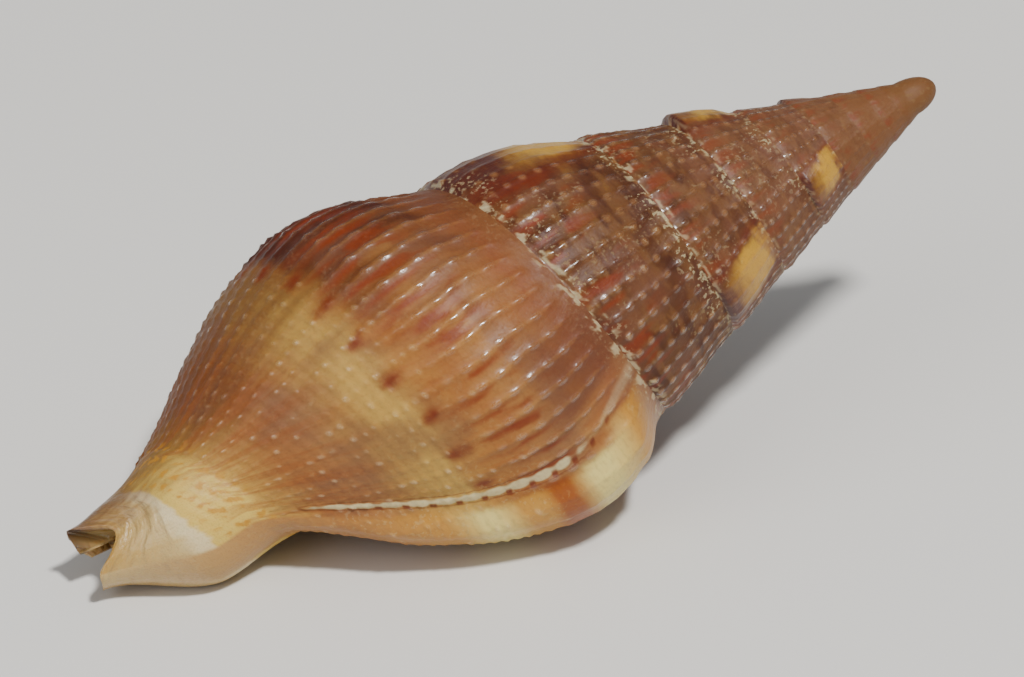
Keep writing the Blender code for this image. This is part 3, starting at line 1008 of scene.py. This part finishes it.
# Where they change down a whorl, in places.
CANAL_SLANT_PLACES = (1.1, 1.3)
LATE_RED_PLACES = (0.08, 0.2, 0.48, 0.56)
PURPLE_ENDS = (0.9, 1.0)
MILK_ENDS = (0.3, 0.5)
MILKY_BAND, MILKY_BAND_HALF_WIDTH = 0.8, 0.15
RUST_ROW, RUST_HALF_WIDTH = 0.36, 0.22
SPOT_ROW, SPOT_HALF_WIDTH = 0.535, 0.045
DASH_ROW, DASH_HALF_WIDTH = 0.38, 0.17
BASE_LINE_PLACES = (0.6, 0.85, 1.0, 1.3)
NECK_STARTS = (0.94, 1.04)
NECK_ENDS = (1.26, 1.36)
SHADOW_ENDS = (0.15, 0.42)
TONGUE_ENDS = (0.08, 0.2)
LIP_BEADS_START = (0.2, 0.34)
LIP_THIN_AT, LIP_THIN_HALF_WIDTH = 0.2, 0.13
LIP_NARROW_AT, LIP_NARROW_HALF_WIDTH = 0.22, 0.2
LIP_THINS_BY, LIP_NARROWS_BY, LIP_BEADS_NARROW_BY = 0.6, 0.55, 0.42
LIP_GAP_PLACES = (0.1, 0.2, 0.75, 0.9)
GRIT_NEAR_SUTURE = (0.02, 0.14)
GRIT_BELOW_MIDDLE = (0.28, 0.46)
CANAL_TAN_STARTS = (1.1, 1.4)
CANAL_GLOSS_STARTS = (1.4, 1.6)
FINE_CORD_PLACES = (0.4, 0.6, 1.2, 1.6)
FOLDS_START = (1.42, 1.6)

# How strong a stored value is where a marking begins to show, and where it shows in full.
RIB_TOP_SHOWS = (0.55, 0.9)
NODULE_SHOWS = (0.35, 1.0)
BEAD_SHOWS = (0.05, 1.1)
FLECK_SHOWS = (0.05, 0.7)
FRONT_VARIX_SHOWS = (0.15, 0.55)
SPIRE_VARIX_SHOWS = (0.1, 0.95)
VARIX_EDGE_SHOWS = (0.0, 0.2)
FRINGE_AT, FRINGE_HALF_WIDTH = 0.3, 0.35
DUST_LEAVES_VARIX = (0.2, 0.6)
LIP_EDGE_AT, LIP_EDGE_HALF_WIDTH = 0.10, 0.10
LIP_WHITE_SHOWS = (0.25, 0.6)
LIP_TONGUE_SHOWS = (0.1, 1.0)
LIP_BEAD_NARROWS = (-0.1, 0.9)
LIP_GAP_SHOWS = (0.03, 0.25)
CRUST_SHOWS = (0.2, 0.9)

# A marking's strength where a pattern or a region is at 0, and where it is at 1.
MILK_STRENGTH = (0.10, 0.35)
RUST_STRENGTH = (0.03, 0.78)
BEAD_STRENGTH = (0.5, 0.25)
DUST_STRENGTH = (0.25, 0.55)
FIRST_WHORL_STRENGTH = (0.45, 0.95)
CRUST_STRENGTH = (0.55, 0.22)
GRIT_STRENGTH = (0.15, 1.0)

# How far patterns push the edges of markings to and fro.
BLOTCHES_SHIFT = 0.06
STREAKS_SHIFT = 0.10
FRONT_BANDS_SHIFT = 0.05
SPIRE_BANDS_SHIFTS = (0.14, 0.10, 0.10)
VARIX_SWAY = 0.5
SPIRE_VARIX_SWAYS = (0.7, 0.9)
FLECKS_SHIFT_BY_BLOTCHES = 1.5
FLECKS_SHIFT_BY_STREAKS = 0.5

# Ribs and cords counted in the markings.
RIBS_PER_SPOT = 2.35
SPOT_SHARPNESS = 4.0
DASH_BESIDE_RIB = 0.35
DASH_SHARPNESS = 4.0
FLECKS_PER_RIB = 0.7
FLECKS_PER_CORD = 0.55


def pattern(across, shape):
    """Smooth random values that follow the whorls, stretched along or across them."""
    per_turn, per_place, scale, detail = shape
    return noise(across * per_turn, at_place * per_place, scale, detail)


def patches(across, shape):
    """0 to 1, with patches where the pattern is strong."""
    return ease(*shape[-2:], pattern(across, shape[:-2]))


def sway(random, amount):
    """Random values made to swing to both sides of 0."""
    return (random - 0.5) * amount


def coat(below, pigment, amount):
    """A pigment laid over the colour below."""
    code, strength = pigment
    return paint(below, code, amount * strength)


blotches, streaks, mottle = (pattern(at_turn, shape) for shape in (BLOTCHES, STREAKS, MOTTLE))
shifted = at_place + sway(blotches, BLOTCHES_SHIFT) + sway(streaks, STREAKS_SHIFT)
canal_slant = (at_turn - CANAL_SLANT_FROM) * CANAL_SLANT * ease(*CANAL_SLANT_PLACES, at_place)
late = ease(*LATE_TURNS, at_turn + sway(streaks, LATE_TURN_SWAY))
early = fade(*EARLY_TURNS, at_turn)
on_spire = fade(*SPIRE_TURNS, at_turn)
dusty = fade(*DUSTY_TURNS, at_turn)
first_whorl = fade(*FIRST_WHORL_TURNS, at_turn)
on_varix = varix_share + sway(streaks, VARIX_SWAY) * ease(*VARIX_EDGE_SHOWS, varix_share)
nodule_row = (cord_count / CORDS_PER_NODULE).wave()


def paint_last_part(colour):
    """Red-brown and brown where the last whorl comes round the far side."""
    red = late * region(LATE_RED_PLACES, shifted)
    colour = coat(colour, LATE_RED, red)
    return coat(colour, LATE_BROWN, late * (1.0 - red))


def paint_spire(colour):
    """Mottled brown on the earlier whorls, with purple clouds, and a plain tan tip."""
    colour = coat(colour, SPIRE_BROWN, early)
    colour = coat(colour, SPIRE_TAN, patches(at_turn, TAN_PATCHES) * early)
    colour = coat(colour, SPIRE_DARK, patches(at_turn, DARK_PATCHES) * early)
    colour = coat(colour, PURPLE, patches(at_turn, CLOUDS) * fade(*PURPLE_ENDS, at_place))
    return coat(colour, TIP_TAN, fade(*TIP_TURNS, at_turn))


def paint_milky_veil(colour):
    """A milky veil on the shoulder of the last whorl, and again near its neck."""
    band = hump(MILKY_BAND, MILKY_BAND_HALF_WIDTH, at_place)
    veil = (1.0 - early) * (1.0 - late) * fade(*MILK_ENDS, at_place).at_least(band)
    return coat(colour, MILK, veil * blend(*MILK_STRENGTH, mottle))


def paint_rust_marks(colour):
    """Rust streaks between the ribs, a row of dark spots, dashes, and fine lines on the base."""
    between_ribs = (1.0 - rib_top).at_least(0.0) * hump(RUST_ROW, RUST_HALF_WIDTH, at_place)
    rust = blend(*RUST_STRENGTH, patches(rib_count, RUST_STREAKS))
    colour = coat(colour, RUST, between_ribs * rust)
    spots = (rib_count / RIBS_PER_SPOT).wave() ** SPOT_SHARPNESS
    spots = spots * hump(SPOT_ROW, SPOT_HALF_WIDTH, shifted)
    colour = coat(colour, SPOT, spots * ease(*SPOT_TURNS, at_turn))
    dashes = (rib_count + DASH_BESIDE_RIB).wave() ** DASH_SHARPNESS * patches(at_turn, DASHES)
    colour = coat(colour, DASH, dashes * hump(DASH_ROW, DASH_HALF_WIDTH, at_place))
    lines = patches(laid_turn, BASE_LINES)
    return coat(colour, BASE_LINE, lines * region(BASE_LINE_PLACES, at_place))


def paint_neck(colour):
    """Yellow-orange flecks on the neck of the canal."""
    flecks = (rib_count * FLECKS_PER_RIB + blotches * FLECKS_SHIFT_BY_BLOTCHES).wave()
    flecks = flecks * (cord_count * FLECKS_PER_CORD + streaks * FLECKS_SHIFT_BY_STREAKS).wave()
    flecks = flecks * patches(at_turn, NECK_PATCHES)
    on_neck = ease(*NECK_STARTS, at_place) * fade(*NECK_ENDS, at_place - canal_slant)
    return coat(colour, NECK_FLECK, ease(*FLECK_SHOWS, flecks) * on_neck)


def paint_varices(colour):
    """Cream and brown blocks on the front varix with a painted shadow just past its lip, cream and a dark
    fringe on those of the spire.
    """
    # Painted shadow on the whorl just past the front varix's steep side.
    past_lip = region(SHADOW_TURNS, laid_turn)
    colour = coat(colour, LIP_SHADOW, past_lip * fade(*SHADOW_ENDS, at_place))
    front_bands = bands(at_place + sway(blotches, FRONT_BANDS_SHIFT), VARIX_BANDS)
    colour = paint(colour, front_bands, ease(*FRONT_VARIX_SHOWS, on_varix) * (1.0 - on_spire))
    spire_place = at_place
    for random, shift in zip((blotches, streaks, mottle), SPIRE_BANDS_SHIFTS):
        spire_place = spire_place + sway(random, shift)
    swayed = on_varix
    for random, amount in zip((blotches, mottle), SPIRE_VARIX_SWAYS):
        swayed = swayed + sway(random, amount)
    spire_varix = ease(*SPIRE_VARIX_SHOWS, swayed) * on_spire
    colour = paint(colour, bands(spire_place, SPIRE_VARIX_BANDS), spire_varix)
    return coat(colour, VARIX_FRINGE, hump(FRINGE_AT, FRINGE_HALF_WIDTH, on_varix) * on_spire)


def paint_pale_tops_and_highlights(colour):
    """Paler tops on the ribs, on the knobs of the spire and on the beads of the base: partly their own
    colour, partly painted highlights.
    """
    colour = coat(colour, RIB_TOP_AND_HIGHLIGHT, ease(*RIB_TOP_SHOWS, rib_top) * (1.0 - early))
    nodules = ease(*NODULE_SHOWS, rib_count.wave() * nodule_row) * patches(at_turn, NODULE_PATCHES)
    colour = coat(colour, NODULE_AND_HIGHLIGHT, nodules * early * ease(*NODULE_TURNS, at_turn))
    bead_strength = blend(*BEAD_STRENGTH, ease(*BEADS_FAINTER_TURNS, at_turn))
    return coat(colour, BEAD_AND_HIGHLIGHT, ease(*BEAD_SHOWS, bead_top) * bead_strength)


def paint_worn_tip(colour):
    """The oldest whorls, worn dull and pale."""
    dust = dusty * blend(*DUST_STRENGTH, mottle) * fade(*DUST_LEAVES_VARIX, on_varix)
    colour = coat(colour, DUST, dust)
    return coat(colour, FIRST_WHORL, first_whorl * blend(*FIRST_WHORL_STRENGTH, blotches))


def paint_lip_line(colour):
    """The row of white beads along the front varix, with brown gaps and a pale tongue above."""
    lip_bead = (at_depth / LIP_BEAD_SPACING).wave()
    beaded = ease(*LIP_BEADS_START, at_place)
    below_tongue = ease(*TONGUE_ENDS, at_place)
    narrow = hump(LIP_NARROW_AT, LIP_NARROW_HALF_WIDTH, at_place)
    thin = hump(LIP_THIN_AT, LIP_THIN_HALF_WIDTH, at_place)
    colour = coat(colour, LIP_EDGE, hump(LIP_EDGE_AT, LIP_EDGE_HALF_WIDTH, lip_line_share) * beaded)
    between_beads = beaded * fade(*LIP_BEAD_NARROWS, lip_bead)
    swelling = 1.0 - LIP_NARROWS_BY * narrow - LIP_BEADS_NARROW_BY * between_beads
    white = ease(*LIP_WHITE_SHOWS, lip_line_share * swelling) * (1.0 - LIP_THINS_BY * thin)
    colour = coat(colour, LIP_BEAD, white * below_tongue)
    colour = coat(colour, LIP_TONGUE, ease(*LIP_TONGUE_SHOWS, lip_line_share) * (1.0 - below_tongue))
    gaps = fade(*LIP_GAP_SHOWS, lip_bead) * hump(LIP_GAP_TURN, LIP_GAP_HALF_WIDTH, laid_turn)
    return coat(colour, LIP_GAP, gaps * region(LIP_GAP_PLACES, at_place))


# Grit is drawn coarser than it is, so that it shows: about 0.2 mm, in patches of about 2 mm.
GRIT_PER_METRE = 4600.0
GRIT_PATCHES_PER_METRE = 420.0
GRIT_DETAIL = 3.0
GRAINS = (0.56, 0.64)
GRAIN_PATCHES = (0.48, 0.62)
GRIT_SHARE_BELOW_MIDDLE = 0.7
MORE_PATCHES_AT_SUTURE = 0.12
LEAST_GRIT = 0.35
place_in_space = add_node(surface, "ShaderNodeTexCoord").outputs["Object"]


def in_space(per_metre):
    """Smooth random values that don't follow the whorls."""
    values = {"Vector": place_in_space, "Scale": per_metre, "Detail": GRIT_DETAIL}
    return Field(add_node(surface, "ShaderNodeTexNoise", values).outputs[0])


grit, grit_patches = in_space(GRIT_PER_METRE), in_space(GRIT_PATCHES_PER_METRE)
near_suture = fade(*GRIT_NEAR_SUTURE, at_place)
near_suture = near_suture.at_least(ease(*GRIT_BELOW_MIDDLE, at_place) * GRIT_SHARE_BELOW_MIDDLE)
grit_spots = ease(*GRAINS, grit)
grit_spots = grit_spots * ease(*GRAIN_PATCHES, grit_patches + near_suture * MORE_PATCHES_AT_SUTURE)


def paint_crusts(colour):
    """White crusts in the sutures, and pale grit that clings to the spire."""
    colour = coat(colour, CRUST, ease(*CRUST_SHOWS, crust_share) * blend(*CRUST_STRENGTH, dusty))
    amount = blend(*GRIT_STRENGTH, region(GRITTY_TURNS, at_turn))
    return coat(colour, GRIT, grit_spots * amount * near_suture.at_least(LEAST_GRIT))


def paint_hollow(colour):
    """Pale pink inside the aperture, and tan inside the canal."""
    in_canal = ease(*CANAL_TAN_STARTS, at_place)
    colour = coat(colour, HOLLOW_PINK, inside_share * (1.0 - in_canal))
    return coat(colour, HOLLOW_TAN, inside_share * in_canal)


colour = bands(shifted - canal_slant, WHORL_BANDS)
for paint_layer in (
    paint_last_part,
    paint_spire,
    paint_milky_veil,
    paint_rust_marks,
    paint_neck,
    paint_varices,
    paint_pale_tops_and_highlights,
    paint_worn_tip,
    paint_lip_line,
    paint_crusts,
    paint_hollow,
):
    colour = paint_layer(colour)
colour = coat(colour, DARK_GRAIN, patches(at_turn, DARK_GRAINS))
colour = add_node(surface, "ShaderNodeGamma", {"Color": colour, "Gamma": GLAZE_DEPTH}).outputs[0]
surface.links.new(paint(colour, GLAZE, 1.0, "MULTIPLY"), shader.inputs["Base Color"])

# The gloss sits on what stands out: knobs, beads, the varices and the end of the canal.
PLAIN_ROUGHNESS = 0.44
BLOTCHY_ROUGHNESS = 0.10
GRITTY_ROUGHNESS = 0.3
POLISH = 0.26
GLINT_COAT = 0.5
PLAIN_SPECULAR = 0.28
GLINT_SPECULAR = 0.4
KNOB_GLINTS = (0.35, 0.85)
KNOB_GLINT_SHARPNESS = 2.0
KNOB_GLINT_LENGTH = 0.6
BEAD_GLINTS = (0.2, 0.7)
VARIX_GLINTS = (0.3, 0.6)
CANAL_GLOSS, VARIX_GLOSS = 0.7, 0.3
knob = rib_count.wave() ** KNOB_GLINT_SHARPNESS * nodule_row**KNOB_GLINT_LENGTH
knob_glint = ease(*KNOB_GLINTS, knob * rib_strength)
bead_glint = ease(*BEAD_GLINTS, bead_top)
canal_glint = ease(*CANAL_GLOSS_STARTS, at_place) * CANAL_GLOSS
varix_glint = ease(*VARIX_GLINTS, varix_share) * VARIX_GLOSS
glint = knob_glint.at_least(bead_glint).at_least(canal_glint).at_least(varix_glint)
roughness = PLAIN_ROUGHNESS + BLOTCHY_ROUGHNESS * blotches + grit_spots * GRITTY_ROUGHNESS - POLISH * glint
varied = {
    "Roughness": roughness,
    "Coat Weight": glint * GLINT_COAT,
    "Specular IOR Level": PLAIN_SPECULAR + GLINT_SPECULAR * glint,
}
for name, value in varied.items():
    surface.links.new(value.socket, shader.inputs[name])
even = {
    "Coat Roughness": 0.12,
    "Subsurface Weight": 0.25,
    "Subsurface Radius": (1.0, 0.5, 0.3),
    "Subsurface Scale": 0.6 * MM,
}
for name, value in even.items():
    shader.inputs[name].default_value = value

# Relief too fine for the mesh: growth threads, fine cords, rib crests, scratches and canal folds.
BUMP_DEPTH = 0.05 * MM
BUMP_STRENGTH = 0.8
CREST_SHARPNESS = 8.0
FOLDS_PER_MM = 0.9
FOLDS_PER_TURN = 2.5
THREAD_RELIEF = 0.3
CORD_RELIEF = 0.25
CREST_RELIEF = (0.2, 1.0)
GRIT_RELIEF = 0.5
PATCH_RELIEF = 0.9
STREAK_RELIEF = 0.8
FOLD_RELIEF = 2.0
threads = pattern(laid_turn, GROWTH_THREADS) * THREAD_RELIEF
fine_cords = cord_count.wave() * region(FINE_CORD_PLACES, at_place) * CORD_RELIEF
crests = rib_count.wave() ** CREST_SHARPNESS * rib_strength * blend(*CREST_RELIEF, nodule_row)
scratches = grit * GRIT_RELIEF + grit_patches * PATCH_RELIEF
scratches = scratches + streaks * STREAK_RELIEF * (1.0 - first_whorl)
folds = (at_depth * FOLDS_PER_MM + at_turn * FOLDS_PER_TURN + blotches).wave()
folds = folds * ease(*FOLDS_START, at_place) * FOLD_RELIEF
relief_height = threads + fine_cords + crests + scratches + folds
values = {"Height": relief_height, "Distance": BUMP_DEPTH, "Strength": BUMP_STRENGTH}
bump = add_node(surface, "ShaderNodeBump", values)
surface.links.new(bump.outputs[0], shader.inputs["Normal"])

set_material.inputs["Material"].default_value = shell_material
modifier = shell.modifiers.new("Growth", "NODES")
modifier.node_group = growth_tree
for identifier, size in growth_sockets.values():
    modifier[identifier] = size
bpy.context.view_layer.update()
grown_shell = shell.evaluated_get(bpy.context.evaluated_depsgraph_get())
plain_mesh = bpy.data.meshes.new_from_object(grown_shell)
shell.modifiers.remove(modifier)
shell.data = plain_mesh
faces = bmesh.new()
faces.from_mesh(plain_mesh)
bmesh.ops.recalc_face_normals(faces, faces=faces.faces)
if faces.calc_volume(signed=True) < 0.0:
    bmesh.ops.reverse_faces(faces, faces=faces.faces)
faces.to_mesh(plain_mesh)
open_edges = sum(1 for edge in faces.edges if not edge.is_manifold)
print("shell triangles", sum(len(face.verts) - 2 for face in faces.faces), "open edges", open_edges)
faces.free()
plain_mesh.shade_smooth()
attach(shell, "root")
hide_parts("shell")


# The ground, lights and camera.
# A plain pale sheet to lie on, with soft studio light from the upper left, as in the picture.
GROUND_HALF_WIDTH = 1.5
SENSOR_WIDTH_MM = 36.0
LENS_MM = 340.0
PIXELS_PER_MM = 19.64
IMAGE_WIDTH, IMAGE_HEIGHT = 1024, 677
SHELL_CENTRE_PIXEL = (502.0, 319.0)
VIEW_OUT = (-0.346, -0.766, 0.542)
VIEW_RIGHT = (0.904, -0.427, -0.028)
CLIP_NEAR, CLIP_FAR = 0.1, 20.0
LAMPS = (
    ("key", 8.0, 62.0, 0.6, 0.06, 4.6),
    ("fill", -75.0, 30.0, 0.8, 0.5, 2.0),
)
ground_mesh = bpy.data.meshes.new("ground")
low, high = -GROUND_HALF_WIDTH, GROUND_HALF_WIDTH
corners = [(low, low, 0.0), (high, low, 0.0), (high, high, 0.0), (low, high, 0.0)]
ground_mesh.from_pydata(corners, [], [(0, 1, 2, 3)])
ground = bpy.data.objects.new("ground", ground_mesh)
bpy.context.scene.collection.objects.link(ground)
ground_material, _, ground_shader = new_material("Matt pale board")
ground_shader.inputs["Base Color"].default_value = from_hex("#d9d6d0")
ground_shader.inputs["Roughness"].default_value = 0.8
ground_mesh.materials.append(ground_material)

world = bpy.data.worlds.new("Studio")
world.use_nodes = True
world.node_tree.nodes["Background"].inputs["Color"].default_value = from_hex("#e4e8ee")
world.node_tree.nodes["Background"].inputs["Strength"].default_value = 0.35
bpy.context.scene.world = world


def add_lamp(name, azimuth, elevation, distance, size, power):
    """A square soft light that faces the shell, in degrees, metres and watts. Azimuth 0 is at -Y."""
    data = bpy.data.lights.new(name, "AREA")
    data.size = size
    data.energy = power
    lamp = bpy.data.objects.new(name, data)
    a, e = math.radians(azimuth), math.radians(elevation)
    out = Vector((math.sin(a) * math.cos(e), -math.cos(a) * math.cos(e), math.sin(e)))
    lamp.location = out * distance
    lamp.rotation_mode = "QUATERNION"
    lamp.rotation_quaternion = out.to_track_quat("Z", "Y")
    bpy.context.scene.collection.objects.link(lamp)


for lamp in LAMPS:
    add_lamp(*lamp)

out = Vector(VIEW_OUT).normalized()
right = Vector(VIEW_RIGHT)
right = (right - out * right.dot(out)).normalized()
upward = out.cross(right)
camera_data = bpy.data.cameras.new("camera")
camera_data.sensor_width = SENSOR_WIDTH_MM
camera_data.lens = LENS_MM
distance = LENS_MM / SENSOR_WIDTH_MM * IMAGE_WIDTH / PIXELS_PER_MM * MM
camera_data.clip_start = distance * CLIP_NEAR
camera_data.clip_end = distance * CLIP_FAR
centre = (first_low + first_high) / 2.0
aim = centre - right * (SHELL_CENTRE_PIXEL[0] - IMAGE_WIDTH / 2) / PIXELS_PER_MM * MM
aim = aim + upward * (SHELL_CENTRE_PIXEL[1] - IMAGE_HEIGHT / 2) / PIXELS_PER_MM * MM
camera = bpy.data.objects.new("camera", camera_data)
camera.location = aim + out * distance
camera.rotation_mode = "QUATERNION"
camera.rotation_quaternion = Matrix((right, upward, out)).transposed().to_quaternion()
bpy.context.scene.collection.objects.link(camera)
bpy.context.scene.camera = camera
